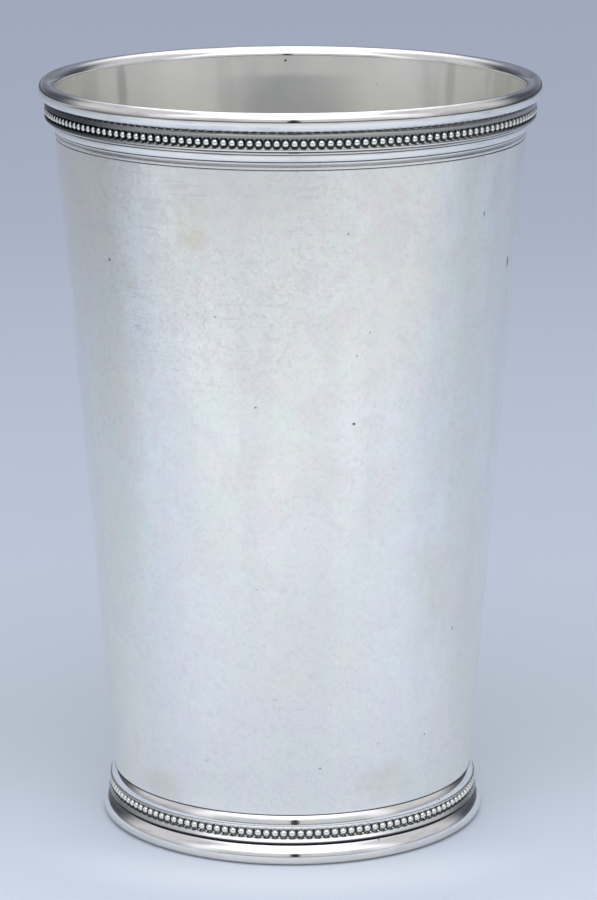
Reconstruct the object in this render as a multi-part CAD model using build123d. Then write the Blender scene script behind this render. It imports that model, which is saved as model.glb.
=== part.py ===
import os
from math import cos, pi, radians, sin

from build123d import *

# Silver julep cup: a tapered wall with a set-in base, and beaded mouldings soldered on
# at the mouth and the foot. Millimetres, +Z up, origin on the table under the cup's axis.

# Whole cup
cup_height = 133.35  # table to the lip's crest, 5 1/4 inches
solder_gap = 0.05  # film of solder between two pieces

# Wall, one tapered sheet that is open at both ends
wall_thickness = 0.70
wall_foot_radius = 31.71  # outside, at the bottom edge
wall_mouth_radius = 41.80  # outside, at the top edge
wall_lift = 0.60  # bottom edge above the table

# Base, a shallow pan set in the wall with its rim turned down
base_recess = 3.00  # table to the base's underside
base_thickness = 0.80
base_bend_radius = 1.20  # outside of the turned-down corner
base_rim_lift = 1.20  # table to the turned-down edge

# Lip, a heavy half-round that caps the wall's top edge and hangs over its outside
lip_height = 3.21
lip_cap = 1.55  # crest above the wall's top edge
lip_depth = 2.25  # from the wall's outside to the lip's widest line
lip_bulge = 1.08  # from the crest circle to the widest line
lip_round_low = 1.61  # lower edge to the widest line

# Beads and channel, alike on both rolled strips
bead_diameter = 1.40
bead_margin = 0.16  # bead to the channel's side
bead_proud = 0.10  # bead beyond the strip's face
bead_root = 0.10  # bead's stalk into the channel's floor
channel_depth = 0.60
border_round = 0.10

# Beaded strip at the rim
rim_border_high = 1.03
rim_border_low = 0.55
rim_edge_height = 0.25  # part of the lower border that slants in
rim_edge_flare = -0.15  # strip's lower edge, from the strip's face
rim_strip_depth = 1.30  # wall's outside, at the strip's top, to the strip's face
rim_bead_pitch = 1.49

# Beaded strip at the foot
foot_border_high = 0.41
foot_border_low = 0.82
foot_edge_height = 0.62  # part of the lower border that slants out
foot_edge_flare = 0.34  # strip's lower edge, from the strip's face
foot_strip_depth = 0.97  # wall's outside, at the strip's top, to the strip's face
foot_bead_pitch = 1.52

# Wire under the rim's strip, a thin reed over a quarter-round
rim_reed_height = 0.55
rim_reed_proud = 0.55
rim_reed_nose = 0.15  # round front of the reed
rim_round_height = 1.30
rim_round_proud = 0.42

# Rounded wire over the foot's strip, with a flat underside
foot_wire_height = 1.82
foot_wire_spread = 0.58  # lower edge beyond the upper edge
foot_wire_lean = 6.0  # degrees in from upright, where the round leaves the lower edge

# Foot ring, a heavy half-round that the cup stands on, with a neck under the strip
foot_ring_height = 3.70
foot_ring_depth = 2.65  # from the wall's outside to the ring's widest line
foot_ring_neck_bulge = 1.34  # from the neck to the widest line
foot_ring_tread_bulge = 1.45  # from the tread to the widest line
foot_ring_round_low = 1.20  # table to the widest line
foot_neck_height = 0.15

# Places that follow from the sizes above
cap_z = cup_height - lip_cap
wall_top_z = cap_z - solder_gap
wall_slope = (wall_mouth_radius - wall_foot_radius) / (wall_top_z - wall_lift)

channel_height = bead_diameter + 2 * bead_margin

lip_bottom_z = cup_height - lip_height
rim_strip_top_z = lip_bottom_z - solder_gap
rim_strip_bottom_z = rim_strip_top_z - rim_border_high - channel_height - rim_border_low
rim_wire_top_z = rim_strip_bottom_z - solder_gap

foot_neck_top_z = foot_ring_height + foot_neck_height
foot_strip_bottom_z = foot_neck_top_z + solder_gap
foot_strip_top_z = foot_strip_bottom_z + foot_border_low + channel_height + foot_border_high
foot_wire_bottom_z = foot_strip_top_z + solder_gap


def outside(z):
    # Radius of the wall's outside at a height
    return wall_foot_radius + wall_slope * (z - wall_lift)


def inside(z):
    # Radius of the wall's inside at a height
    return outside(z) - wall_thickness


def seat(z):
    # Radius of a moulding's back, one solder film clear of the wall's outside
    return outside(z) + solder_gap


def turned(*edges):
    # Solid of revolution from the edges of a closed outline of (radius, height) points
    return revolve(Plane.XZ * make_face(edges), axis=Axis.Z)


def shoulder(low, high, lean):
    # Arc that leaves the low point at a lean from upright and bends in to the high point
    return TangentArc(low, high, tangent=(-sin(radians(lean)), cos(radians(lean))))


def make_wall():
    return turned(
        Polyline(
            (outside(wall_lift), wall_lift),
            (outside(wall_top_z), wall_top_z),
            (inside(wall_top_z), wall_top_z),
            (inside(wall_lift), wall_lift),
            close=True,
        )
    )


def make_base():
    top_z = base_recess + base_thickness
    rim_top = inside(top_z) - solder_gap
    rim_edge = inside(base_rim_lift) - solder_gap
    bend_inside = max(base_bend_radius - base_thickness, 0)
    return turned(
        FilletPolyline(
            (0, base_recess),
            (0, top_z),
            (rim_top, top_z),
            (rim_edge, base_rim_lift),
            (rim_edge - base_thickness, base_rim_lift),
            (rim_top - base_thickness, base_recess),
            radius=[0, 0, base_bend_radius, 0, 0, bend_inside],
            close=True,
        )
    )


def make_lip():
    crest_radius = outside(cap_z) + lip_depth - lip_bulge
    middle_z = lip_bottom_z + lip_round_low
    crest = (crest_radius, cap_z)
    middle = (crest_radius, middle_z)
    inner_round = crest_radius - inside(cap_z)
    return turned(
        EllipticalCenterArc(middle, lip_bulge, lip_round_low, 270, arc_size=90),
        EllipticalCenterArc(middle, lip_bulge, cup_height - middle_z, 0, arc_size=90),
        EllipticalCenterArc(crest, inner_round, lip_cap, 90, arc_size=90),
        Polyline(
            (inside(cap_z), cap_z),
            (seat(cap_z), cap_z),
            (seat(lip_bottom_z), lip_bottom_z),
            (crest_radius, lip_bottom_z),
        ),
    )


def make_bead():
    # One dome on a short stalk, pointing along +X from the centre of its sphere
    radius = bead_diameter / 2
    stalk = max(channel_depth + bead_proud - radius, 0) + bead_root
    outline = Polyline((0, radius), (0, -stalk), (radius, -stalk), (radius, 0))
    dome = CenterArc((0, 0), radius, 0, 90)
    bead = revolve(Plane.XZ * make_face([*outline.edges(), dome]), axis=Axis.Z)
    return Rot(0, 90, 0) * bead


def make_strip(low_z, low_border, edge_height, edge_flare, high_z, depth, pitch, half_pitches):
    # Ring with a channel between two plain borders, and a row of beads in the channel.
    # The first bead is at the front, or as many half pitches round from it.
    channel_low_z = low_z + low_border
    channel_high_z = channel_low_z + channel_height
    face_radius = outside(high_z) + depth
    floor_radius = face_radius - channel_depth
    ring = turned(
        FilletPolyline(
            (seat(low_z), low_z),
            (face_radius + edge_flare, low_z),
            (face_radius, low_z + edge_height),
            (face_radius, channel_low_z),
            (floor_radius, channel_low_z),
            (floor_radius, channel_high_z),
            (face_radius, channel_high_z),
            (face_radius, high_z),
            (seat(high_z), high_z),
            radius=[0] + [border_round] * 3 + [0, 0] + [border_round] * 2 + [0],
            close=True,
        )
    )
    count = round(2 * pi * face_radius / pitch)
    first_angle = -90 + half_pitches * 180 / count
    bead = Pos(0, 0, channel_low_z + channel_height / 2) * make_bead()
    centre_radius = face_radius + bead_proud - bead_diameter / 2
    beads = [place * bead for place in PolarLocations(centre_radius, count, first_angle)]
    return ring + beads


def make_rim_strip():
    return make_strip(
        rim_strip_bottom_z,
        rim_border_low,
        rim_edge_height,
        rim_edge_flare,
        rim_strip_top_z,
        rim_strip_depth,
        rim_bead_pitch,
        half_pitches=1,
    )


def make_foot_strip():
    return make_strip(
        foot_strip_bottom_z,
        foot_border_low,
        foot_edge_height,
        foot_edge_flare,
        foot_strip_top_z,
        foot_strip_depth,
        foot_bead_pitch,
        half_pitches=0,
    )


def make_rim_wire():
    reed_bottom_z = rim_wire_top_z - rim_reed_height
    bottom_z = reed_bottom_z - rim_round_height
    reed_tip = seat(rim_wire_top_z) + rim_reed_proud
    reed_side = reed_tip - rim_reed_nose
    round_edge = seat(reed_bottom_z) + rim_round_proud
    round_centre = (seat(bottom_z), reed_bottom_z)
    round_width = round_edge - seat(bottom_z)
    return turned(
        EllipticalCenterArc(round_centre, round_width, rim_round_height, 270, arc_size=90),
        Line((round_edge, reed_bottom_z), (reed_side, reed_bottom_z)),
        ThreePointArc(
            (reed_side, reed_bottom_z),
            (reed_tip, reed_bottom_z + rim_reed_height / 2),
            (reed_side, rim_wire_top_z),
        ),
        Polyline(
            (reed_side, rim_wire_top_z),
            (seat(rim_wire_top_z), rim_wire_top_z),
            (seat(bottom_z), bottom_z),
        ),
    )


def make_foot_wire():
    top_z = foot_wire_bottom_z + foot_wire_height
    top = (seat(top_z), top_z)
    bottom = (seat(top_z) + foot_wire_spread, foot_wire_bottom_z)
    return turned(
        shoulder(bottom, top, foot_wire_lean),
        Polyline(top, (seat(foot_wire_bottom_z), foot_wire_bottom_z), bottom),
    )


def make_foot_ring():
    widest = outside(foot_ring_round_low) + foot_ring_depth
    neck_radius = widest - foot_ring_neck_bulge
    tread_radius = widest - foot_ring_tread_bulge
    middle = (tread_radius, foot_ring_round_low)
    return turned(
        EllipticalCenterArc(middle, foot_ring_tread_bulge, foot_ring_round_low, 270, arc_size=90),
        shoulder((widest, foot_ring_round_low), (neck_radius, foot_ring_height), lean=0),
        Polyline(
            (neck_radius, foot_ring_height),
            (neck_radius, foot_neck_top_z),
            (seat(foot_neck_top_z), foot_neck_top_z),
            (seat(0), 0),
            (tread_radius, 0),
        ),
    )


pieces = {
    "cup_wall": make_wall(),
    "base_pan": make_base(),
    "lip_moulding": make_lip(),
    "rim_bead_strip": make_rim_strip(),
    "rim_reeded_wire": make_rim_wire(),
    "foot_half_round_wire": make_foot_wire(),
    "foot_bead_strip": make_foot_strip(),
    "foot_ring": make_foot_ring(),
}

os.makedirs("parts", exist_ok=True)
for name, solid in pieces.items():
    solid.label = name
    export_step(solid, f"parts/{name}.step")
    size = solid.bounding_box().size
    print(f"{name}: {solid.volume:.1f} mm3, {size.X:.2f} x {size.Y:.2f} x {size.Z:.2f} mm")
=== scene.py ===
import math

import bmesh
import bpy
from mathutils import Matrix, Vector


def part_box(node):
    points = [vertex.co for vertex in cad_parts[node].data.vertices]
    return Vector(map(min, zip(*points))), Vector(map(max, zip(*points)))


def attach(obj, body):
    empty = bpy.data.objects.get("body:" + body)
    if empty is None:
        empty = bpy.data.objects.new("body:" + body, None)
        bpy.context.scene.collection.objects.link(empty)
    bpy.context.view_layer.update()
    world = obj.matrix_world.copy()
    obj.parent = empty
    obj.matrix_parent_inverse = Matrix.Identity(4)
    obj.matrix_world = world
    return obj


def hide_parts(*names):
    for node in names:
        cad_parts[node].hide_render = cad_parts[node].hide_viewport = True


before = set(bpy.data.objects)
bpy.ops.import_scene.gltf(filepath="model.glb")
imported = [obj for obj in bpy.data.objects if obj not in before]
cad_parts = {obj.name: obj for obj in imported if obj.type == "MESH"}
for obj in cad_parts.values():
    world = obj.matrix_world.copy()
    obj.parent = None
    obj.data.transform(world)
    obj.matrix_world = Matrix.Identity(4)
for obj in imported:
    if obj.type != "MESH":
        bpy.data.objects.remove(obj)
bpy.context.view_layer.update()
print("frame loaded with", len(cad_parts), "nodes")

mm = 0.001
fullTurn = 2 * math.pi
sharpAngle = math.radians(32)  # creases past this stay crisp
weldDistance = 0.0005 * mm


def makeNode(tree, kind, sockets=None, **settings):
    # sockets holds either plain values or the sockets to link from
    made = tree.nodes.new(kind)
    for name, value in settings.items():
        setattr(made, name, value)
    for name, value in (sockets or {}).items():
        if isinstance(value, bpy.types.NodeSocket):
            tree.links.new(value, made.inputs[name])
        else:
            made.inputs[name].default_value = value
    return made


def calc(tree, operation, first, second=0.0, third=0.0):
    sockets = {0: first, 1: second, 2: third}
    return makeNode(tree, "ShaderNodeMath", sockets, operation=operation).outputs[0]


def strongest(tree, masks):
    most = masks[0]
    for mask in masks[1:]:
        most = calc(tree, "MAXIMUM", most, mask)
    return most


def ramp(tree, value, low, high, toLow=0.0, toHigh=1.0):
    # smooth step of a value from one range to another
    sockets = {"Value": value, "From Min": low, "From Max": high, "To Min": toLow, "To Max": toHigh}
    made = makeNode(tree, "ShaderNodeMapRange", sockets, interpolation_type="SMOOTHSTEP")
    return made.outputs["Result"]


def blendColour(tree, mask, first, second):
    # the node's colour sockets are inputs 6 and 7 and output 2
    mix = makeNode(tree, "ShaderNodeMix", {"Factor": mask}, data_type="RGBA")
    for socket, value in ((mix.inputs[6], first), (mix.inputs[7], second)):
        if isinstance(value, bpy.types.NodeSocket):
            tree.links.new(value, socket)
        else:
            socket.default_value = (*value, 1)
    return mix.outputs[2]


def objectPlace(tree):
    return makeNode(tree, "ShaderNodeTexCoord").outputs["Object"]


def splitPlace(tree, place):
    return makeNode(tree, "ShaderNodeSeparateXYZ", {0: place}).outputs


def angleFromFront(tree, parts):
    return calc(tree, "ARCTAN2", parts["X"], calc(tree, "MULTIPLY", parts["Y"], -1.0))


def lengthOf(tree, vector):
    return makeNode(tree, "ShaderNodeVectorMath", {0: vector}, operation="LENGTH").outputs["Value"]


def flatLength(tree, across, upward):
    flat = makeNode(tree, "ShaderNodeCombineXYZ", {"X": across, "Y": upward})
    return lengthOf(tree, flat.outputs[0])


def stretchPlace(tree, around, upward):
    # object coordinates scaled so that noise is drawn out into lines
    scale = makeNode(tree, "ShaderNodeCombineXYZ", {"X": around, "Y": around, "Z": upward})
    sockets = {0: objectPlace(tree), 1: scale.outputs[0]}
    return makeNode(tree, "ShaderNodeVectorMath", sockets, operation="MULTIPLY").outputs[0]


def makeNoise(tree, place, scale, detail, **more):
    sockets = {"Vector": place, "Scale": scale, "Detail": detail, **more}
    return makeNode(tree, "ShaderNodeTexNoise", sockets).outputs["Fac"]


def newGroup(name, inputs, output):
    tree = bpy.data.node_groups.new(name, "ShaderNodeTree")
    for socket, value in inputs.items():
        made = tree.interface.new_socket(socket, in_out="INPUT", socket_type="NodeSocketFloat")
        made.default_value = value
    tree.interface.new_socket(output, in_out="OUTPUT", socket_type="NodeSocketFloat")
    given = tree.nodes.new("NodeGroupInput").outputs
    return tree, given, tree.nodes.new("NodeGroupOutput").inputs[output]


def useGroup(tree, group, output, **values):
    made = makeNode(tree, "ShaderNodeGroup", values, node_tree=group)
    return made.outputs[output]


# fine lines that rubbing leaves round the cup
def makeRubbingMarks():
    tree, given, out = newGroup("rubbingMarks", {"Around": 30.0, "Upward": 3000.0}, "Marks")
    lines = stretchPlace(tree, given["Around"], given["Upward"])
    tree.links.new(makeNoise(tree, lines, scale=1.0, detail=4.0), out)
    return tree


# soft patches of handling and old polish
def makeHandling():
    tree, given, out = newGroup("handlingPatches", {"Scale": 60.0, "Contrast": 0.3}, "Patches")
    place = objectPlace(tree)
    noise = makeNoise(tree, place, given["Scale"], detail=5.0, Roughness=0.6, Distortion=0.6)
    half = calc(tree, "MULTIPLY", given["Contrast"], 0.5)
    low = calc(tree, "SUBTRACT", 0.5, half)
    high = calc(tree, "ADD", 0.5, half)
    tree.links.new(ramp(tree, noise, low, high), out)
    return tree


# tarnish in the seams between the soldered pieces, together with painted shade in their crevices, darkest
# in each seam's core
def makeSeamTarnishAndShade():
    seams = [  # height, half width and strength
        (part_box("lip_moulding")[0].z, 0.17 * mm, 1.0),
        (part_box("rim_bead_strip")[0].z, 0.16 * mm, 1.0),
        (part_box("rim_reeded_wire")[1].z - rimWire["reed"], 0.19 * mm, 0.8),
        (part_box("rim_reeded_wire")[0].z, 0.19 * mm, 0.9),
        (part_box("foot_half_round_wire")[1].z, 0.16 * mm, 0.95),
        (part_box("foot_ring")[1].z, 0.40 * mm, 0.95),
    ]
    tree, given, out = newGroup("seamTarnishAndShade", {"Core": 0.3}, "TarnishAndShade")
    height = splitPlace(tree, objectPlace(tree))["Z"]
    dark = []
    for seam, halfWidth, strength in seams:
        away = calc(tree, "ABSOLUTE", calc(tree, "SUBTRACT", height, seam))
        core = calc(tree, "MULTIPLY", given["Core"], halfWidth)
        dark.append(ramp(tree, away, core, halfWidth, strength, 0.0))
    tree.links.new(strongest(tree, dark), out)
    return tree


# black left in the socket round each bead, a grey border above, and dashes of painted reflection of the
# gaps between the beads along the strip's top edge
socketTarnishAndReflectionInputs = {
    "Count": 100.0,  # beads round the strip
    "First": 0.0,  # first bead, in pitches from the front
    "Pitch": 1.5 * mm,
    "Middle": 0.1,  # height of the beads' middle
    "Bead": 0.4 * mm,  # bead's clean part
    "Lift": 0.0,  # clean part's middle over the bead's
    "Sink": 0.0,  # socket's middle under the bead's
    "Socket": 0.9 * mm,
    "Slim": 1.0,  # clean part's height to its width
    "Taper": 0.0,  # and how much slimmer it gets upwards
    "Border": 0.0,
    # strength of the painted reflection of the gaps between the beads
    "Dashes": 0.0,
    "Top": 1.8 * mm,  # strip's top edge over the beads' middle
    "Black": 1.0,
    "LeftMore": 0.0,  # blacker to the left by this much, and paler to the right
    "LeftSide": 0.0,
    "RightSide": 0.0,
    "Behind": 0.0,
}
socketEdges = {
    "bead": 1.25,  # clean part ends softly, at this share of its size
    "socket": 0.9,  # socket starts to end at this share
    "border": (0.55, 0.82),  # shares of the strip's top
    "overBeads": (0.4 * mm, 0.7 * mm),
    "dashTall": 0.28 * mm,
    "dashSoft": 0.05 * mm,
    "dashGap": (0.10 * mm, 0.26 * mm),  # to each side of a bead's middle
    "left": (-20, -55),  # degrees round from the front
    "right": (30, 70),
    "behind": (90, 165),
}


def rampDegrees(tree, angle, degrees, strength):
    low, high = (math.radians(side) for side in degrees)
    return ramp(tree, angle, low, high, 0.0, strength)


def makeSocketTarnishAndReflection():
    edges = socketEdges
    tree, given, out = newGroup("socketTarnishAndReflection", socketTarnishAndReflectionInputs, "TarnishAndShade")
    parts = splitPlace(tree, objectPlace(tree))
    angle = angleFromFront(tree, parts)
    turns = calc(tree, "MULTIPLY", angle, calc(tree, "DIVIDE", given["Count"], fullTurn))
    share = calc(tree, "FRACT", calc(tree, "ADD", calc(tree, "SUBTRACT", turns, given["First"]), 0.5))
    sideways = calc(tree, "MULTIPLY", calc(tree, "SUBTRACT", share, 0.5), given["Pitch"])
    above = calc(tree, "SUBTRACT", parts["Z"], given["Middle"])

    # clean front of the bead, drawn up to a point
    lifted = calc(tree, "SUBTRACT", above, given["Lift"])
    upper = calc(tree, "MAXIMUM", lifted, 0.0)
    slim = calc(tree, "MULTIPLY_ADD", upper, given["Taper"], given["Slim"])
    away = flatLength(tree, calc(tree, "MULTIPLY", sideways, slim), lifted)
    offBead = ramp(tree, away, given["Bead"], calc(tree, "MULTIPLY", given["Bead"], edges["bead"]))

    # socket, border, and the dashes of painted reflection
    reach = flatLength(tree, sideways, calc(tree, "ADD", above, given["Sink"]))
    socketFrom = calc(tree, "MULTIPLY", given["Socket"], edges["socket"])
    inSocket = ramp(tree, reach, socketFrom, given["Socket"], 1.0, 0.0)
    borderFrom, borderTo = (calc(tree, "MULTIPLY", given["Top"], end) for end in edges["border"])
    onBorder = ramp(tree, above, borderFrom, borderTo, given["Border"], 0.0)
    onBorder = calc(tree, "MULTIPLY", onBorder, ramp(tree, above, *edges["overBeads"]))
    # painted reflection: dark dashes between the beads, along the strip's top edge
    topEdge = calc(tree, "SUBTRACT", given["Top"], edges["dashTall"])
    atTop = ramp(tree, above, topEdge, calc(tree, "ADD", topEdge, edges["dashSoft"]))
    between = ramp(tree, calc(tree, "ABSOLUTE", sideways), *edges["dashGap"], 0.0, given["Dashes"])
    dashes = calc(tree, "MULTIPLY", atTop, between)

    # the whole strip is darker at the sides and behind
    left = rampDegrees(tree, angle, edges["left"], given["LeftSide"])
    right = rampDegrees(tree, angle, edges["right"], given["RightSide"])
    behind = rampDegrees(tree, calc(tree, "ABSOLUTE", angle), edges["behind"], 1.0)
    ahead = calc(tree, "SUBTRACT", 1.0, behind)
    sides = calc(tree, "MULTIPLY", calc(tree, "MAXIMUM", left, right), ahead)
    sides = calc(tree, "MULTIPLY_ADD", behind, given["Behind"], sides)

    dark = calc(tree, "MULTIPLY", offBead, strongest(tree, [inSocket, onBorder, dashes, sides]))
    leftMore = calc(tree, "MULTIPLY", calc(tree, "SINE", angle), given["LeftMore"])
    black = calc(tree, "SUBTRACT", given["Black"], leftMore)
    tree.links.new(calc(tree, "MULTIPLY", dark, black), out)
    return tree


# pin pricks, one in each cell of a coarse grid, most of them too small to see
def makePits():
    inputs = {"Scale": 120.0, "Size": 0.05, "Rarity": 2.0, "Core": 0.5}
    tree, given, out = newGroup("pinPricks", inputs, "Pits")
    cells = makeNode(tree, "ShaderNodeTexVoronoi", {"Vector": objectPlace(tree), "Scale": given["Scale"]})
    chance = makeNode(tree, "ShaderNodeSeparateColor", {"Color": cells.outputs["Color"]}).outputs["Red"]
    size = calc(tree, "MULTIPLY", given["Size"], calc(tree, "POWER", chance, given["Rarity"]))
    core = calc(tree, "MULTIPLY", size, given["Core"])
    tree.links.new(ramp(tree, cells.outputs["Distance"], core, size, 1.0, 0.0), out)
    return tree


# hair scratches round the cup, more of them in some patches than in others
scratch = {"line": (0.56, 0.70), "patch": (0.35, 0.65), "detail": 2.0}


def makeScratches():
    inputs = {"Around": 90.0, "Upward": 3500.0, "Patch": 40.0}
    tree, given, out = newGroup("hairScratches", inputs, "Scratches")
    place = stretchPlace(tree, given["Around"], given["Upward"])
    lines = makeNoise(tree, place, scale=1.0, detail=scratch["detail"])
    patches = makeNoise(tree, objectPlace(tree), given["Patch"], scratch["detail"])
    cut = ramp(tree, lines, *scratch["line"])
    tree.links.new(calc(tree, "MULTIPLY", cut, ramp(tree, patches, *scratch["patch"])), out)
    return tree


# dark of tarnish, also used for the painted shade in seams and grooves and for the painted reflection of
# the dashes
tarnishAndShadeColour = (0.021, 0.026, 0.037)

# tapered wall, with a groove and a line turned in it under the rim's wire
wall = {
    "footRadius": 31.71 * mm,
    "sheet": 0.70 * mm,
    "grooves": [  # drop is below the rim's wire
        # the last value is the strength of the groove's tarnish with painted shade
        {"drop": 1.35 * mm, "halfWidth": 0.12 * mm, "depth": 0.05 * mm, "tarnishAndShade": 0.9},
        {"drop": 0.55 * mm, "halfWidth": 0.30 * mm, "depth": 0.085 * mm, "tarnishAndShade": 0.45},
    ],
    "grooveOutline": ((-1.5, 0), (-1, 0), (0, 1), (1, 0), (1.5, 0)),  # shares of half width and depth
    "grooveCore": 0.4,  # share of the half width that is fully dark
    "steps": 288,
}

wallLow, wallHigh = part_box("cup_wall")
wallSlope = (wallHigh.x - wall["footRadius"]) / (wallHigh.z - wallLow.z)
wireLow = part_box("rim_reeded_wire")[0].z


def outside(height):
    return wall["footRadius"] + wallSlope * (height - wallLow.z)


def newMaterial(name):
    material = bpy.data.materials.new(name)
    material.use_nodes = True
    return material, material.node_tree.nodes["Principled BSDF"]


def finishSilver(tree, shader, colour, roughness, marks, bump):
    strength, distance = bump
    shader.inputs["Metallic"].default_value = 1.0
    tree.links.new(colour, shader.inputs["Base Color"])
    tree.links.new(roughness, shader.inputs["Roughness"])
    relief = makeNode(tree, "ShaderNodeBump", {"Height": marks, "Strength": strength, "Distance": distance})
    tree.links.new(relief.outputs["Normal"], shader.inputs["Normal"])


# old marks on the wall, and a patch of painted shade: degrees round from the front, height, half sizes, and
# strength
wallMarks = {
    "stains": [
        (-24.0, 113.5 * mm, 4.2 * mm, 6.0 * mm, 0.60),
        (-43.0, 104.0 * mm, 3.0 * mm, 4.5 * mm, 0.45),
        (-45.0, 11.5 * mm, 7.0 * mm, 4.0 * mm, 0.50),
        (31.0, 13.5 * mm, 8.0 * mm, 5.0 * mm, 0.50),
        (41.0, 46.0 * mm, 7.0 * mm, 14.0 * mm, 0.40),
    ],
    # painted shade on the upper wall, left of the front
    "shaded": [(-16.0, 123.0 * mm, 20.0 * mm, 18.0 * mm, 0.55)],
    "rubbed": [
        (-22.0, 108.0 * mm, 34.0 * mm, 34.0 * mm, 1.0),
        (-9.0, 122.0 * mm, 24.0 * mm, 10.0 * mm, 1.0),
    ],
    "pits": [
        (16.3, 79.6 * mm, 0.35 * mm, 0.32 * mm, 1.0),
        (-50.5, 105.8 * mm, 0.35 * mm, 0.35 * mm, 0.9),
        (13.7, 112.6 * mm, 0.25 * mm, 0.25 * mm, 0.7),
        (19.9, 95.4 * mm, 0.22 * mm, 0.22 * mm, 0.6),
        (16.7, 91.5 * mm, 0.22 * mm, 0.22 * mm, 0.6),
        (-18.8, 98.2 * mm, 0.30 * mm, 0.20 * mm, 0.6),
        (54.5, 113.2 * mm, 0.30 * mm, 0.70 * mm, 0.7),
        (71.3, 102.9 * mm, 0.60 * mm, 1.40 * mm, 0.9),
        (-41.7, 95.1 * mm, 1.40 * mm, 0.15 * mm, 0.4),
        (8.5, 17.4 * mm, 0.30 * mm, 0.25 * mm, 0.6),
        (54.2, 39.1 * mm, 0.40 * mm, 0.40 * mm, 0.5),
        (26.7, 21.0 * mm, 0.25 * mm, 0.45 * mm, 0.25),
        (-4.9, 30.2 * mm, 0.80 * mm, 0.18 * mm, 0.18),
        (3.0, 28.5 * mm, 0.70 * mm, 0.18 * mm, 0.18),
        (-26.7, 17.9 * mm, 0.55 * mm, 0.22 * mm, 0.25),
    ],
}
markCore = 0.3  # share of a mark's half size that is at full strength


def addMarks(tree, angle, height, marks):
    found = []
    for degrees, markHeight, halfWide, halfTall, strength in marks:
        turn = calc(tree, "SUBTRACT", angle, math.radians(degrees))
        around = calc(tree, "MULTIPLY", turn, outside(markHeight) / halfWide)
        upward = calc(tree, "DIVIDE", calc(tree, "SUBTRACT", height, markHeight), halfTall)
        found.append(ramp(tree, flatLength(tree, around, upward), markCore, 1.0, strength, 0.0))
    return strongest(tree, found)


# silver of the wall's outside; four numbers are a ramp's two ends and its values there
satin = {
    "cool": (0.98, 0.985, 0.985),
    "warm": (0.995, 0.96, 0.855),
    "dull": (0.87, 0.87, 0.855),
    # colour of the painted shade
    "shaded": (0.785, 0.78, 0.76),
    "rose": (0.985, 0.91, 0.905),
    "green": (0.925, 0.975, 0.89),
    "grain": (0.60, 0.60, 0.60),
    "scratched": (0.66, 0.65, 0.63),
    "stain": (0.80, 0.755, 0.60),
    "footGlow": (75 * mm, 15 * mm, 0.0, 0.9),  # warmer towards the foot
    "footClean": -0.6,  # and with less mist and fewer streaks
    "roseShare": 0.85,
    "greenShare": 0.8,
    "streakRange": (0.45, 0.65, 0.0, 0.55),
    "grainRange": (0.45, 1.0, 0.0, 0.23),
    "blotchRange": (0.40, 1.0, 0.0, 0.16),
    "rubbedGrain": (0.0, 1.0, 1.0, 2.0),
    "rubbedSpecks": (0.0, 1.0, 0.0, 0.40),
    "rubbedScratches": (0.0, 1.0, 0.12, 0.55),
    "stainClouds": (0.0, 1.0, 0.4, 1.0),
    "roughness": (0.0, 1.0, 0.16, 0.25),
    "wornRoughness": 0.06,
    "bump": (0.02, 0.05 * mm),
}


def addSatinTints(tree, height):
    # cool and warm patches, rose clouds, green mist and soft upright streaks
    streaks = useGroup(tree, rubbingMarks, "Marks", Around=110.0, Upward=9.0)
    patches = useGroup(tree, handlingPatches, "Patches", Scale=48.0, Contrast=0.30)
    clouds = useGroup(tree, handlingPatches, "Patches", Scale=130.0, Contrast=0.30)
    mist = useGroup(tree, handlingPatches, "Patches", Scale=210.0, Contrast=0.30)
    nearFoot = ramp(tree, height, *satin["footGlow"])
    handled = calc(tree, "MULTIPLY_ADD", nearFoot, satin["footClean"], 1.0)
    clean = blendColour(tree, calc(tree, "MAXIMUM", patches, nearFoot), satin["cool"], satin["warm"])
    clean = blendColour(tree, calc(tree, "MULTIPLY", clouds, satin["roseShare"]), clean, satin["rose"])
    mist = calc(tree, "MULTIPLY", mist, handled)
    clean = blendColour(tree, calc(tree, "MULTIPLY", mist, satin["greenShare"]), clean, satin["green"])
    streaks = calc(tree, "MULTIPLY", ramp(tree, streaks, *satin["streakRange"]), handled)
    return blendColour(tree, streaks, clean, satin["dull"]), clouds


def addSatinWear(tree, clean, angle, height):
    # grain, specks and scratches, heavier where the wall was rubbed, and a patch of painted shade
    specks = useGroup(tree, handlingPatches, "Patches", Scale=520.0, Contrast=0.5)
    blotches = useGroup(tree, handlingPatches, "Patches", Scale=1000.0, Contrast=0.5)
    grain = useGroup(tree, handlingPatches, "Patches", Scale=2600.0, Contrast=0.5)
    scratches = useGroup(tree, hairScratches, "Scratches", Around=150.0, Upward=2600.0, Patch=60.0)
    rubbed = addMarks(tree, angle, height, wallMarks["rubbed"])
    shaded = addMarks(tree, angle, height, wallMarks["shaded"])
    fine = ramp(tree, grain, *satin["grainRange"])
    grit = calc(tree, "ADD", fine, ramp(tree, blotches, *satin["blotchRange"]))
    grit = calc(tree, "MULTIPLY", grit, ramp(tree, rubbed, *satin["rubbedGrain"]))
    clean = blendColour(tree, grit, clean, satin["grain"])
    worn = calc(tree, "MULTIPLY", rubbed, ramp(tree, specks, *satin["rubbedSpecks"]))
    clean = blendColour(tree, worn, clean, satin["dull"])
    # painted shade
    clean = blendColour(tree, shaded, clean, satin["shaded"])
    cut = calc(tree, "MULTIPLY", scratches, ramp(tree, rubbed, *satin["rubbedScratches"]))
    return blendColour(tree, cut, clean, satin["scratched"]), worn


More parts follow.
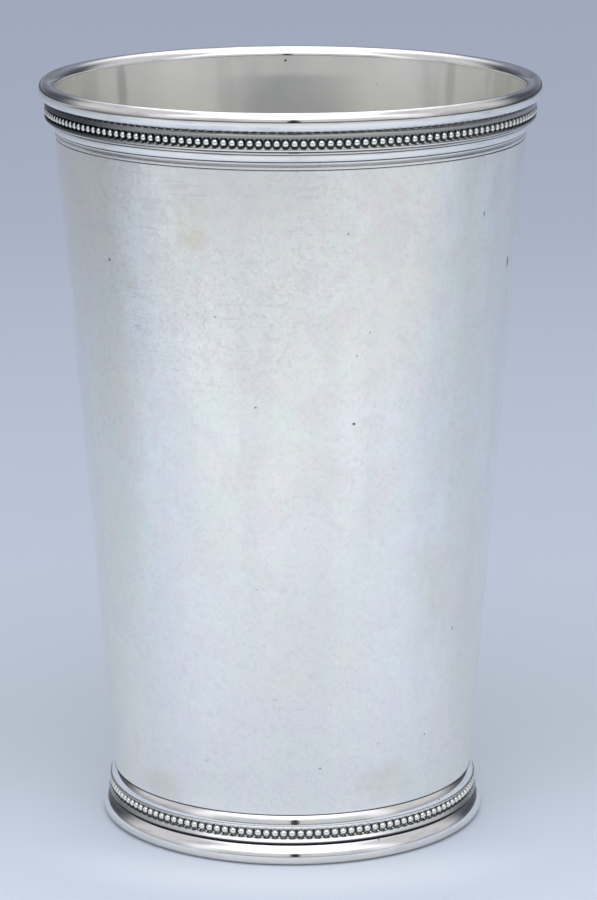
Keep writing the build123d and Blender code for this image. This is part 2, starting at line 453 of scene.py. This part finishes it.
def addWallDirtAndShade(tree, angle, height):
    # pits, with tarnish and painted shade in the seams and grooves
    dirtAndShade = [
        # tarnish and painted shade in the seams
        useGroup(tree, seamTarnishAndShade, "TarnishAndShade"),
        useGroup(tree, pinPricks, "Pits", Scale=170.0, Size=0.035),
        addMarks(tree, angle, height, wallMarks["pits"]),
    ]
    # tarnish in the turned grooves, together with painted shade in them
    for groove in wall["grooves"]:
        away = calc(tree, "ABSOLUTE", calc(tree, "SUBTRACT", height, wireLow - groove["drop"]))
        core = groove["halfWidth"] * wall["grooveCore"]
        dirtAndShade.append(ramp(tree, away, core, groove["halfWidth"], groove["tarnishAndShade"], 0.0))
    return strongest(tree, dirtAndShade)


def makeSatinSilver():
    material, shader = newMaterial("satinSilver")
    tree = material.node_tree
    parts = splitPlace(tree, objectPlace(tree))
    height = parts["Z"]
    angle = angleFromFront(tree, parts)
    marks = useGroup(tree, rubbingMarks, "Marks", Around=24.0, Upward=2600.0)
    clean, clouds = addSatinTints(tree, height)
    clean, worn = addSatinWear(tree, clean, angle, height)
    stains = addMarks(tree, angle, height, wallMarks["stains"])
    stains = calc(tree, "MULTIPLY", stains, ramp(tree, clouds, *satin["stainClouds"]))
    clean = blendColour(tree, stains, clean, satin["stain"])
    colour = blendColour(tree, addWallDirtAndShade(tree, angle, height), clean, tarnishAndShadeColour)
    wornRough = calc(tree, "MULTIPLY", worn, satin["wornRoughness"])
    rough = calc(tree, "ADD", ramp(tree, clouds, *satin["roughness"]), wornRough)
    finishSilver(tree, shader, colour, rough, marks, satin["bump"])
    return material


# silver of the inside, with dull marks: degrees round from the back, height, half sizes, and strength
inside = {
    "marks": [
        (-48.8, 128.0 * mm, 1.7 * mm, 8.0 * mm, 0.95),
        (45.5, 128.0 * mm, 1.8 * mm, 8.0 * mm, 0.60),
    ],
    "unrubbed": [(0.0, 112.0 * mm, 17.0 * mm, 40.0 * mm, 0.85)],
    "rubbedTop": (128.9 * mm, 127.4 * mm),  # polished from here up
    "topEdge": (131.2 * mm, 131.7 * mm, 0.0, 0.3),  # darker just under the lip
    "cool": (0.945, 0.945, 0.925),
    "warm": (0.955, 0.945, 0.88),
    "dull": (0.76, 0.76, 0.75),
    "stale": (0.66, 0.66, 0.65),
    "streakRange": (0.5, 0.66),
    "dullShare": 0.55,
    "roughness": (0.0, 1.0, 0.28, 0.36),
    "bump": (0.02, 0.05 * mm),
}


def makeInsideSilver():
    material, shader = newMaterial("insideSilver")
    tree = material.node_tree
    parts = splitPlace(tree, objectPlace(tree))
    height = parts["Z"]
    angle = calc(tree, "ARCTAN2", parts["X"], parts["Y"])
    streaks = useGroup(tree, rubbingMarks, "Marks", Around=140.0, Upward=25.0)
    patches = useGroup(tree, handlingPatches, "Patches", Scale=110.0, Contrast=0.4)
    clean = blendColour(tree, patches, inside["cool"], inside["warm"])
    streaked = ramp(tree, streaks, *inside["streakRange"])
    underLip = ramp(tree, height, *inside["topEdge"])
    dull = calc(tree, "MULTIPLY", strongest(tree, [streaked, underLip]), inside["dullShare"])
    clean = blendColour(tree, dull, clean, inside["dull"])
    unrubbed = addMarks(tree, angle, height, inside["unrubbed"])
    unrubbed = calc(tree, "MULTIPLY", unrubbed, ramp(tree, height, *inside["rubbedTop"]))
    stale = strongest(tree, [unrubbed, addMarks(tree, angle, height, inside["marks"])])
    clean = blendColour(tree, stale, clean, inside["stale"])
    pits = useGroup(tree, pinPricks, "Pits", Scale=160.0, Size=0.06)
    colour = blendColour(tree, pits, clean, tarnishAndShadeColour)
    rough = ramp(tree, patches, *inside["roughness"])
    finishSilver(tree, shader, colour, rough, streaks, inside["bump"])
    return material


# silver of the lip, the wires and the foot ring
polished = {
    "footBright": (0.965, 0.958, 0.94),
    "rimBright": (0.965, 0.953, 0.90),
    "worn": (0.94, 0.93, 0.915),
    "dull": (0.70, 0.71, 0.74),
    "scuffed": (0.80, 0.74, 0.665),
    "footToRim": (60.0 * mm, 110.0 * mm),
    "streakRange": (0.5, 0.7, 0.0, 0.7),
    "nearTable": (2.0 * mm, 1.1 * mm, 0.0, 0.65),  # scuffed at the tread
    "roughness": (0.3, 0.7, 0.05, 0.12),
    "bump": (0.02, 0.03 * mm),
}


def makePolishedSilver():
    material, shader = newMaterial("polishedSilver")
    tree = material.node_tree
    height = splitPlace(tree, objectPlace(tree))["Z"]
    marks = useGroup(tree, rubbingMarks, "Marks", Around=60.0, Upward=4000.0)
    streaks = useGroup(tree, rubbingMarks, "Marks", Around=160.0, Upward=1500.0)
    patches = useGroup(tree, handlingPatches, "Patches", Scale=120.0, Contrast=0.5)
    toRim = ramp(tree, height, *polished["footToRim"])
    clean = blendColour(tree, toRim, polished["footBright"], polished["rimBright"])
    clean = blendColour(tree, patches, clean, polished["worn"])
    clean = blendColour(tree, ramp(tree, streaks, *polished["streakRange"]), clean, polished["dull"])
    clean = blendColour(tree, ramp(tree, height, *polished["nearTable"]), clean, polished["scuffed"])
    pits = useGroup(tree, pinPricks, "Pits", Scale=260.0, Size=0.07)
    # pin pricks, and tarnish with painted shade in the seams
    dirtAndShade = strongest(tree, [useGroup(tree, seamTarnishAndShade, "TarnishAndShade"), pits])
    colour = blendColour(tree, dirtAndShade, clean, tarnishAndShadeColour)
    rough = ramp(tree, marks, *polished["roughness"])
    finishSilver(tree, shader, colour, rough, marks, polished["bump"])
    return material


# silver of the beaded strips
beading = {
    "bright": (0.96, 0.95, 0.905),
    "roughness": (0.3, 0.7, 0.08, 0.14),
    "dirtRoughness": 0.4,
    "bump": (0.02, 0.03 * mm),
}


def makeBeading(name, strip, face, middle):
    material, shader = newMaterial(name)
    tree = material.node_tree
    marks = useGroup(tree, rubbingMarks, "Marks", Around=300.0, Upward=3000.0)
    pitch = fullTurn * face / strip["beads"]
    sockets = {"Count": strip["beads"], "First": strip["firstBead"], "Pitch": pitch, "Middle": middle}
    # socket tarnish, with the dashes of painted reflection
    deep = useGroup(tree, socketTarnishAndReflection, "TarnishAndShade", **sockets, **strip["tarnishAndShade"])
    # the socket's marks, and tarnish with painted shade in the seams
    dirtAndShade = strongest(tree, [deep, useGroup(tree, seamTarnishAndShade, "TarnishAndShade")])
    colour = blendColour(tree, dirtAndShade, beading["bright"], tarnishAndShadeColour)
    dirtRough = calc(tree, "MULTIPLY", dirtAndShade, beading["dirtRoughness"])
    rough = calc(tree, "ADD", ramp(tree, marks, *beading["roughness"]), dirtRough)
    finishSilver(tree, shader, colour, rough, marks, beading["bump"])
    return material


def addArc(bm, radius, height, halfWide, halfTall, fromDegrees, toDegrees, steps):
    # a vertex swept round a unit circle, then scaled to the arc's two half sizes
    middle = Vector((radius, 0, height))
    start = math.radians(fromDegrees)
    first = bm.verts.new(middle + Vector((math.cos(start), 0, math.sin(start))))
    sweep = math.radians(toDegrees - fromDegrees)
    bmesh.ops.spin(bm, geom=[first], cent=middle, axis=(0, -1, 0), angle=sweep, steps=steps)
    bm.verts.ensure_lookup_table()
    run = [first] + bm.verts[-steps:]
    bmesh.ops.scale(bm, verts=run, vec=(halfWide, 1, halfTall), space=Matrix.Translation(-middle))
    return run


def addOutline(bm, runs, closed):
    # each run is a (radius, height) point, or the seven values of an arc
    line = []
    for run in runs:
        made = [bm.verts.new((run[0], 0, run[1]))] if len(run) == 2 else addArc(bm, *run)
        if line:
            bm.edges.new((line[-1], made[0]))
        line += made
    if closed:
        bm.edges.new((line[-1], line[0]))


def turnOutline(bm, runs, steps, closed=True):
    addOutline(bm, runs, closed)
    bmesh.ops.spin(bm, geom=bm.verts[:] + bm.edges[:], cent=(0, 0, 0), axis=(0, 0, 1),
                   angle=fullTurn, steps=steps, use_merge=True)
    bmesh.ops.remove_doubles(bm, verts=bm.verts[:], dist=weldDistance)
    bmesh.ops.recalc_face_normals(bm, faces=bm.faces[:])


def addPiece(name, bm, node, materials):
    mesh = bpy.data.meshes.new(name)
    bm.to_mesh(mesh)
    bm.free()
    mesh.shade_smooth()
    mesh.set_sharp_from_angle(angle=sharpAngle)
    for material in materials:
        mesh.materials.append(material)
    piece = bpy.data.objects.new(name, mesh)
    bpy.context.collection.objects.link(piece)
    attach(piece, "root")
    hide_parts(node)
    print(name, "has", len(mesh.polygons), "faces")


def makeWall():
    bm = bmesh.new()
    runs = [(outside(wallLow.z), wallLow.z)]
    for groove in wall["grooves"]:
        for step, share in wall["grooveOutline"]:
            height = wireLow - groove["drop"] + step * groove["halfWidth"]
            runs.append((outside(height) - groove["depth"] * share, height))
    runs += [
        (outside(wallHigh.z), wallHigh.z),
        (outside(wallHigh.z) - wall["sheet"], wallHigh.z),
        (outside(wallLow.z) - wall["sheet"], wallLow.z),
    ]
    turnOutline(bm, runs, wall["steps"])
    for face in bm.faces:
        middle = face.calc_center_median()
        if middle.xy.length < outside(middle.z) - wall["sheet"] / 2:
            face.material_index = 1
    addPiece("cupWall", bm, "cup_wall", [satinSilver, insideSilver])


# base, a pan set in the wall
base = {"sheet": 0.80 * mm, "bend": 1.20 * mm, "outerSteps": 8, "innerSteps": 4, "steps": 288}


def makeBase():
    low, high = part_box("base_pan")
    floorLow = high.z - base["sheet"]
    edge = high.x - wallSlope * (high.z - low.z)
    bend = base["bend"]
    innerBend = bend - base["sheet"]
    bm = bmesh.new()
    runs = [
        (0, floorLow),
        (edge - bend, floorLow - innerBend, innerBend, innerBend, 90, 0, base["innerSteps"]),
        (edge - base["sheet"], low.z),
        (edge, low.z),
        (edge, high.z - bend),
        (edge - bend, high.z - bend, bend, bend, 0, 90, base["outerSteps"]),
        (0, high.z),
    ]
    turnOutline(bm, runs, base["steps"], closed=False)
    addPiece("basePan", bm, "base_pan", [insideSilver])


# heavy rounded lip, of three arcs; the second and the third start a step past the last point
lip = {
    "bulge": 1.08 * mm,
    "roundLow": 1.61 * mm,
    "cap": 1.55 * mm,
    "lowArc": (-90, 0, 14),  # degrees from and to, and steps
    "highArc": (4, 90, 16),
    "innerArc": (98, 180, 12),
    "steps": 320,
}


def makeLip():
    low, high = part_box("lip_moulding")
    crest = high.x - lip["bulge"]
    middle = low.z + lip["roundLow"]
    capZ = high.z - lip["cap"]
    inner = outside(capZ) - wall["sheet"]
    bm = bmesh.new()
    runs = [
        (crest, middle, lip["bulge"], lip["roundLow"], *lip["lowArc"]),
        (crest, middle, lip["bulge"], high.z - middle, *lip["highArc"]),
        (crest, capZ, crest - inner, lip["cap"], *lip["innerArc"]),
        (outside(capZ), capZ),
        (outside(low.z), low.z),
    ]
    turnOutline(bm, runs, lip["steps"])
    addPiece("lipMoulding", bm, "lip_moulding", [polishedSilver])


# rolled strips with a row of beads
beadShape = {
    "diameter": 1.40 * mm,
    "proud": 0.10 * mm,  # beyond the strip's face
    "around": 12,
    "rings": 8,
    "backCut": 0.1,  # share of the radius kept behind the middle
    "stalk": 0.3,  # share of the channel's depth
}
stripShape = {
    "channelDepth": 0.60 * mm,
    "corner": 0.08 * mm,
    "cornerSteps": 6,
    "slantSteps": 4,
    "steps": 288,
}
rimStrip = {
    "depth": 1.30 * mm,  # wall to face, at the strip's top
    "highBorder": 1.03 * mm,
    "lowBorder": 0.55 * mm,
    "edgeHeight": 0.25 * mm,  # part of the lower border that slants
    "flare": -0.15 * mm,  # lower edge beyond the face
    "beads": 181,
    "firstBead": 0.5,  # in pitches round from the front
    "tarnishAndShade": {
        "Bead": 0.62 * mm,
        "Lift": 0.03 * mm,
        "Sink": 0.06 * mm,
        "Socket": 0.98 * mm,
        "Slim": 1.45,
        "Taper": 1300.0,
        "Border": 0.64,
        # painted reflection of the gaps between the beads
        "Dashes": 1.0,
        "Top": 1.89 * mm,
        "Black": 0.91,
        "LeftMore": 0.09,
        "LeftSide": 0.92,
        "RightSide": 0.55,
        "Behind": 0.70,
    },
}
footStrip = {
    "depth": 0.97 * mm,
    "highBorder": 0.41 * mm,
    "lowBorder": 0.82 * mm,
    "edgeHeight": 0.62 * mm,
    "flare": 0.34 * mm,
    "beads": 137,
    "firstBead": 0.0,
    "tarnishAndShade": {
        "Bead": 0.78 * mm,
        "Lift": 0.04 * mm,
        "Sink": 0.0,
        "Socket": 1.06 * mm,
        "Slim": 1.5,
        "Black": 0.90,
        "LeftSide": 0.55,
        "RightSide": 0.50,
        "Behind": 0.50,
    },
}


def placeBead(strip, face, height):
    # from a dome that points up at the origin to the first bead's place
    turn = math.radians(-90) + fullTurn * strip["firstBead"] / strip["beads"]
    centre = face + beadShape["proud"] - beadShape["diameter"] / 2
    place = Matrix.Translation((0, 0, height)) @ Matrix.Rotation(turn, 4, "Z")
    return place @ Matrix.Translation((centre, 0, 0)) @ Matrix.Rotation(math.radians(90), 4, "Y")


def eachOnce(elements):
    # in a fixed order, where a set's order would change from run to run
    return list(dict.fromkeys(elements))


def openEdges(verts):
    return eachOnce(edge for vert in verts for edge in vert.link_edges if edge.is_boundary)


def addBeads(bm, strip, face, height):
    # one dome with a closed stalk, copied round the channel
    radius = beadShape["diameter"] / 2
    sphere = bmesh.ops.create_uvsphere(bm, u_segments=beadShape["around"], v_segments=beadShape["rings"],
                                       radius=radius)["verts"]
    back = [vert for vert in sphere if vert.co.z < -radius * beadShape["backCut"]]
    bmesh.ops.delete(bm, geom=back, context="VERTS")
    dome = [vert for vert in sphere if vert.is_valid]
    extruded = bmesh.ops.extrude_edge_only(bm, edges=openEdges(dome))["geom"]
    stalk = [made for made in extruded if isinstance(made, bmesh.types.BMVert)]
    bmesh.ops.translate(bm, verts=stalk, vec=(0, 0, -stripShape["channelDepth"] * beadShape["stalk"]))
    bmesh.ops.edgeloop_fill(bm, edges=openEdges(stalk))
    bead = dome + stalk
    bmesh.ops.transform(bm, matrix=placeBead(strip, face, height), verts=bead)
    faces = eachOnce(side for vert in bead for side in vert.link_faces)
    bmesh.ops.recalc_face_normals(bm, faces=faces)
    edges = eachOnce(edge for side in faces for edge in side.edges)
    copies = strip["beads"] - 1
    bmesh.ops.spin(bm, geom=bead + edges + faces, cent=(0, 0, 0), axis=(0, 0, 1),
                   angle=fullTurn * copies / strip["beads"], steps=copies, use_duplicate=True)


def makeStrip(name, node, strip):
    low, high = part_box(node)
    face = outside(high.z) + strip["depth"]
    channelFloor = face - stripShape["channelDepth"]
    channelLow = low.z + strip["lowBorder"]
    channelHigh = high.z - strip["highBorder"]
    corner = stripShape["corner"]
    cornerSteps = stripShape["cornerSteps"]
    rounded = face - corner
    lean = math.atan2(strip["flare"], strip["edgeHeight"])
    edgeIn = corner * math.tan(math.radians(45) + lean / 2)
    edgeDrop = corner * math.tan(lean / 2)
    slant = math.degrees(lean)
    slantTop = low.z + strip["edgeHeight"] - edgeDrop
    bm = bmesh.new()
    runs = [
        (outside(low.z), low.z),
        (face + strip["flare"] - edgeIn, low.z + corner, corner, corner, -90, slant, cornerSteps),
        (rounded, slantTop, corner, corner, slant, 0, stripShape["slantSteps"]),
        (rounded, channelLow - corner, corner, corner, 0, 90, cornerSteps),
        (channelFloor, channelLow),
        (channelFloor, channelHigh),
        (rounded, channelHigh + corner, corner, corner, -90, 0, cornerSteps),
        (rounded, high.z - corner, corner, corner, 0, 90, cornerSteps),
        (outside(high.z), high.z),
    ]
    turnOutline(bm, runs, stripShape["steps"])
    middle = (channelLow + channelHigh) / 2
    addBeads(bm, strip, face, middle)
    silver = makeBeading(name + "Silver", strip, face, middle)
    addPiece(name, bm, node, [silver])


# reed over a quarter-round, under the rim's strip
rimWire = {
    "reed": 0.55 * mm,
    "reedProud": 0.60 * mm,
    "nose": 0.15 * mm,  # round front of the reed
    "roundProud": 0.47 * mm,
    "roundSteps": 14,
    "noseSteps": 8,
    "steps": 288,
}


def makeRimWire():
    low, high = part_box("rim_reeded_wire")
    reedLow = high.z - rimWire["reed"]
    halfReed = rimWire["reed"] / 2
    nose = rimWire["nose"]
    noseCentre = outside(high.z) + rimWire["reedProud"] - nose
    foot = outside(low.z)
    roundWide = outside(reedLow) + rimWire["roundProud"] - foot
    bm = bmesh.new()
    runs = [
        (foot, reedLow, roundWide, reedLow - low.z, -90, 0, rimWire["roundSteps"]),
        (noseCentre, reedLow + halfReed, nose, halfReed, -90, 90, rimWire["noseSteps"]),
        (outside(high.z), high.z),
    ]
    turnOutline(bm, runs, rimWire["steps"])
    addPiece("rimReededWire", bm, "rim_reeded_wire", [polishedSilver])


def shoulderArc(wide, low, narrow, high, lean, steps):
    # arc that leaves the wide low point at a lean from upright and bends in to the narrow high point
    chord = math.hypot(wide - narrow, high - low)
    halfTurn = math.atan2(wide - narrow, high - low) - math.radians(lean)
    radius = chord / (2 * math.sin(halfTurn))
    centre = wide - radius * math.cos(math.radians(lean))
    middle = low - radius * math.sin(math.radians(lean))
    return (centre, middle, radius, radius, lean, lean + 2 * math.degrees(halfTurn), steps)


# rounded wire over the foot's strip
footWire = {"lean": 6.0, "arcSteps": 18, "steps": 288}


def makeFootWire():
    low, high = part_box("foot_half_round_wire")
    bm = bmesh.new()
    runs = [
        (outside(low.z), low.z),
        shoulderArc(high.x, low.z, outside(high.z), high.z, footWire["lean"], footWire["arcSteps"]),
    ]
    turnOutline(bm, runs, footWire["steps"])
    addPiece("footHalfRoundWire", bm, "foot_half_round_wire", [polishedSilver])


# heavy foot ring
footRing = {
    "widestHeight": 1.20 * mm,
    "neckHeight": 0.15 * mm,
    "neckBulge": 1.34 * mm,  # neck to the widest line
    "treadBulge": 1.45 * mm,  # tread to the widest line
    "treadArc": (-90, -6, 13),  # degrees from and to, and steps; the shoulder goes on from there
    "shoulderSteps": 20,
    "steps": 320,
}


def makeFootRing():
    low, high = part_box("foot_ring")
    neck = high.x - footRing["neckBulge"]
    neckLow = high.z - footRing["neckHeight"]
    tread = high.x - footRing["treadBulge"]
    middle = low.z + footRing["widestHeight"]
    bm = bmesh.new()
    runs = [
        (tread, middle, footRing["treadBulge"], footRing["widestHeight"], *footRing["treadArc"]),
        shoulderArc(high.x, middle, neck, neckLow, 0, footRing["shoulderSteps"]),
        (neck, high.z),
        (outside(high.z), high.z),
        (outside(low.z), low.z),
    ]
    turnOutline(bm, runs, footRing["steps"])
    addPiece("footRing", bm, "foot_ring", [polishedSilver])


rubbingMarks = makeRubbingMarks()
pinPricks = makePits()
hairScratches = makeScratches()
handlingPatches = makeHandling()
seamTarnishAndShade = makeSeamTarnishAndShade()
socketTarnishAndReflection = makeSocketTarnishAndReflection()
print("shared finishes made")
satinSilver = makeSatinSilver()
insideSilver = makeInsideSilver()
polishedSilver = makePolishedSilver()
print("silver finishes made")

makeWall()
makeBase()
makeLip()
makeStrip("rimBeadStrip", "rim_bead_strip", rimStrip)
makeRimWire()
makeFootWire()
makeStrip("footBeadStrip", "foot_bead_strip", footStrip)
makeFootRing()
print("cup made")

# pale floor with painted light, lightest a hand's length in front of the cup
floor = {
    "size": 6.0,
    "front": -0.80,
    "back": 1.30,
    # painted fall-off of the light along the floor
    "tones": [  # distance along and colour
        (-0.80, (0.65, 0.65, 0.645)),
        (-0.41, (0.67, 0.69, 0.72)),
        (-0.20, (0.775, 0.815, 0.855)),
        (-0.13, (0.70, 0.75, 0.81)),
        (-0.05, (0.648, 0.716, 0.824)),
        (0.03, (0.53, 0.592, 0.66)),
        (0.20, (0.478, 0.54, 0.64)),
        (0.60, (0.37, 0.42, 0.507)),
        (1.30, (0.32, 0.368, 0.45)),
    ],
    # painted shade at the floor's two sides
    "leftDim": (-0.12, -0.45, 0.0, 0.32),  # from and to, across, and the share at each
    "rightDim": (0.10, 0.45, 0.0, 0.24),
    "leftAlong": (-0.20, 0.20, 0.45, 1.80),  # the dimming's share in front, and behind
    "rightAlong": (-0.20, 0.20, 1.15, 0.55),
    "dimTone": (0.30, 0.30, 0.305),
    # painted shade far off
    "far": (1.35, 1.70),  # past the photograph's upper edge
    "farTone": (0.10, 0.11, 0.125),
    "glow": (58 * mm, 40 * mm, 0.0, 0.65),  # painted light thrown forward by the foot, by distance from the axis
    "glowFront": (-18 * mm, -44 * mm),
    "glowTone": (0.87, 0.93, 1.0),
    "roughness": 0.85,
}


def setTones(stops, tones):
    # a new colour ramp has two stops already
    for index, (position, colour) in enumerate(tones):
        stop = stops[index] if index < 2 else stops.new(position)
        stop.position = position
        stop.color = (*colour, 1)


def addPaintedFloorLight(tree, along):
    length = floor["back"] - floor["front"]
    sockets = {"Value": along, "From Min": floor["front"], "From Max": floor["back"]}
    share = makeNode(tree, "ShaderNodeMapRange", sockets).outputs["Result"]
    tones = makeNode(tree, "ShaderNodeValToRGB", {"Fac": share})
    tones.color_ramp.interpolation = "CARDINAL"
    stops = [((place - floor["front"]) / length, colour) for place, colour in floor["tones"]]
    setTones(tones.color_ramp.elements, stops)
    return tones.outputs["Color"]


def makeFloorMaterial():
    material, shader = newMaterial("paleFloor")
    tree = material.node_tree
    place = objectPlace(tree)
    parts = splitPlace(tree, place)
    across, along = parts["X"], parts["Y"]
    # painted shade at the sides
    sides = []
    for name in ("left", "right"):
        dim = ramp(tree, across, *floor[name + "Dim"])
        sides.append(calc(tree, "MULTIPLY", dim, ramp(tree, along, *floor[name + "Along"])))
    # painted light along the floor, with painted shade at the sides
    colour = blendColour(tree, strongest(tree, sides), addPaintedFloorLight(tree, along), floor["dimTone"])
    # painted light thrown forward by the foot
    glow = ramp(tree, lengthOf(tree, place), *floor["glow"])
    glow = calc(tree, "MULTIPLY", glow, ramp(tree, along, *floor["glowFront"]))
    colour = blendColour(tree, glow, colour, floor["glowTone"])
    # painted shade far off
    colour = blendColour(tree, ramp(tree, along, *floor["far"]), colour, floor["farTone"])
    tree.links.new(colour, shader.inputs["Base Color"])
    shader.inputs["Roughness"].default_value = floor["roughness"]
    return material


def stageMesh(name, bm, material):
    mesh = bpy.data.meshes.new(name)
    bm.to_mesh(mesh)
    bm.free()
    mesh.materials.append(material)
    made = bpy.data.objects.new(name, mesh)
    bpy.context.collection.objects.link(made)
    return made


def makeFloor():
    bm = bmesh.new()
    bmesh.ops.create_grid(bm, x_segments=1, y_segments=1, size=floor["size"] / 2)
    stageMesh("floor", bm, makeFloorMaterial())


# white tent overhead, with a dark gap at the front's horizon, grey sides and a dark sweep behind
tent = {
    "strength": 1.725,
    "sides": (0.15, 0.65, 0.0, 0.65),  # from and to, across, and how much dimmer at each
    "sidesAlong": (-0.70, -0.30),  # the front stays bright all across
    "frontToSide": (-0.75, -0.35),  # along
    "sideToBack": (0.25, 0.65),
    "frontTones": [  # height on the unit sphere and colour
        (0.00, (0.07, 0.075, 0.08)),
        (0.025, (0.10, 0.105, 0.11)),
        (0.075, (0.30, 0.31, 0.325)),
        (0.38, (0.38, 0.39, 0.405)),
        (0.50, (0.85, 0.86, 0.885)),
        (0.80, (0.985, 0.99, 1.02)),
    ],
    "sideTones": [
        (0.00, (0.60, 0.605, 0.64)),
        (0.10, (0.72, 0.725, 0.765)),
        (0.22, (0.98, 0.985, 1.03)),
        (0.80, (0.98, 0.985, 1.03)),
    ],
    "backTones": [
        (0.00, (0.065, 0.075, 0.10)),
        (0.07, (0.18, 0.195, 0.225)),
        (0.14, (0.105, 0.115, 0.14)),
        (0.45, (0.15, 0.165, 0.20)),
        (0.60, (0.58, 0.585, 0.61)),
        (0.80, (0.89, 0.895, 0.935)),
    ],
}


def makeTent():
    world = bpy.data.worlds.new("tent")
    world.use_nodes = True
    bpy.context.scene.world = world
    tree = world.node_tree
    parts = splitPlace(tree, makeNode(tree, "ShaderNodeTexCoord").outputs["Generated"])
    walls = []
    for name in ("frontTones", "sideTones", "backTones"):
        tones = makeNode(tree, "ShaderNodeValToRGB", {"Fac": parts["Z"]})
        setTones(tones.color_ramp.elements, tent[name])
        walls.append(tones.outputs["Color"])
    front, side, back = walls
    colour = blendColour(tree, ramp(tree, parts["Y"], *tent["frontToSide"]), front, side)
    colour = blendColour(tree, ramp(tree, parts["Y"], *tent["sideToBack"]), colour, back)
    dim = ramp(tree, calc(tree, "ABSOLUTE", parts["X"]), *tent["sides"])
    dim = calc(tree, "MULTIPLY", dim, ramp(tree, parts["Y"], *tent["sidesAlong"]))
    strength = calc(tree, "MULTIPLY", calc(tree, "SUBTRACT", 1.0, dim), tent["strength"])
    background = tree.nodes["Background"]
    tree.links.new(colour, background.inputs["Color"])
    tree.links.new(strength, background.inputs["Strength"])


# camera at the photograph's place
view = {
    "place": (1.25 * mm, -640.2 * mm, 221.0 * mm),
    "down": 13.58,
    "roll": -0.13,
    "lens": 147.25,
    "sensor": 36,
    "nearest": 0.01,
}


def makeCamera():
    data = bpy.data.cameras.new("camera")
    data.lens = view["lens"]
    data.sensor_width = view["sensor"]
    data.clip_start = view["nearest"]
    camera = bpy.data.objects.new("camera", data)
    camera.matrix_world = (
        Matrix.Translation(view["place"])
        @ Matrix.Rotation(math.radians(90 - view["down"]), 4, "X")
        @ Matrix.Rotation(math.radians(view["roll"]), 4, "Z")
    )
    bpy.context.collection.objects.link(camera)
    bpy.context.scene.camera = camera


# dark cards that the mouldings mirror: one behind the camera, and three that end the pale floor
cameraCard = {"size": (0.12, 0.58), "centre": (0.035, -1.25, 0.26), "tilt": 90, "shade": 0.02}
groundCards = {
    "groundCard": {"size": (6.0, 2.4), "centre": (0.0, -2.25, 0.001), "tilt": 0, "shade": 0.02},
    "leftGroundCard": {"size": (2.4, 1.4), "centre": (-1.78, -0.35, 0.001), "tilt": 0, "shade": 0.12},
    "rightGroundCard": {"size": (2.2, 3.0), "centre": (1.85, 0.45, 0.001), "tilt": 0, "shade": 0.02},
}
cardRoughness = 0.9
roundCardSides = 32


def makeCard(name, card, rounded):
    bm = bmesh.new()
    if rounded:
        bmesh.ops.create_circle(bm, cap_ends=True, segments=roundCardSides, radius=0.5)
    else:
        bmesh.ops.create_grid(bm, x_segments=1, y_segments=1, size=0.5)
    bmesh.ops.scale(bm, verts=bm.verts[:], vec=(*card["size"], 1))
    bmesh.ops.rotate(bm, verts=bm.verts[:], matrix=Matrix.Rotation(math.radians(card["tilt"]), 3, "X"))
    bmesh.ops.translate(bm, verts=bm.verts[:], vec=card["centre"])
    material, shader = newMaterial(name)
    shade = card["shade"]
    shader.inputs["Base Color"].default_value = (shade, shade, shade, 1)
    shader.inputs["Roughness"].default_value = cardRoughness
    sheet = stageMesh(name, bm, material)
    sheet.visible_camera = False
    sheet.visible_shadow = False
    sheet.visible_diffuse = False


makeFloor()
makeTent()
makeCamera()
makeCard("cameraCard", cameraCard, rounded=True)
for cardName, groundCard in groundCards.items():
    makeCard(cardName, groundCard, rounded=False)
bpy.context.scene.view_settings.view_transform = "Standard"
print("stage made")
